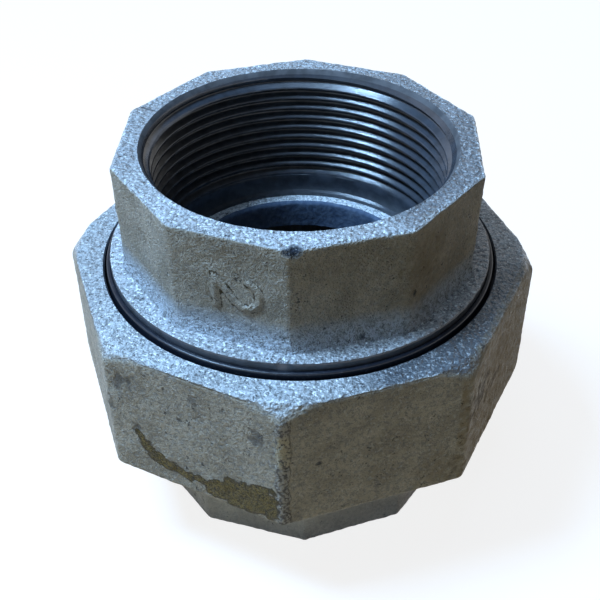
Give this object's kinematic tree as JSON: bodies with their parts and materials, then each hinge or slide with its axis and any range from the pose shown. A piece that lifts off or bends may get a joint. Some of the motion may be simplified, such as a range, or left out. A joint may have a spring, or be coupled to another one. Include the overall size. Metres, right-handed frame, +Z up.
{
  "type": "dielectric union",
  "caption": "Dielectric pipe union with female threaded ends, drawn together by a union nut and kept electrically apart by a plastic collar and a rubber gasket.",
  "frame": {"origin": "middle of the lower end's face, on the waterway's axis, where the part stands", "axes": "+Z up the waterway, from the lower body to the tailpiece; -Y towards a corner of the tailpiece's barrel"},
  "size_m": [0.0956, 0.0956, 0.0766],
  "materials": {
    "galvanised_upper": "rough cast, hot-dip galvanised, dull zinc",
    "galvanised_nut": "rough cast, hot-dip galvanised, dull zinc with stains",
    "galvanised_lower": "cast, galvanised, darker and smoother",
    "black_plastic": "moulded nylon, satin gloss",
    "black_rubber": "matt moulded rubber"
  },
  "bodies": {
    "lower_body": {"lower_body": "galvanised_lower", "gasket": "black_rubber"},
    "tailpiece": {"tailpiece": "galvanised_upper", "insulating_collar": "black_plastic"},
    "union_nut": {"union_nut": "galvanised_nut"}
  },
  "joints": [
    {"name": "tailpiece_lift", "type": "slide", "parent": "lower_body", "child": "tailpiece", "axis": [0, 0, 1], "range_m": [0, 0.0144]},
    {"name": "nut_unscrew", "type": "hinge", "parent": "tailpiece", "child": "union_nut", "pos_m": [0, 0, 0.0364], "axis": [0, 0, 1], "range_deg": [0, 2590]}
  ],
  "couplings": [
    {"joint": "tailpiece_lift", "follows": "nut_unscrew", "m_per_rad": 0.00031831}
  ]
}
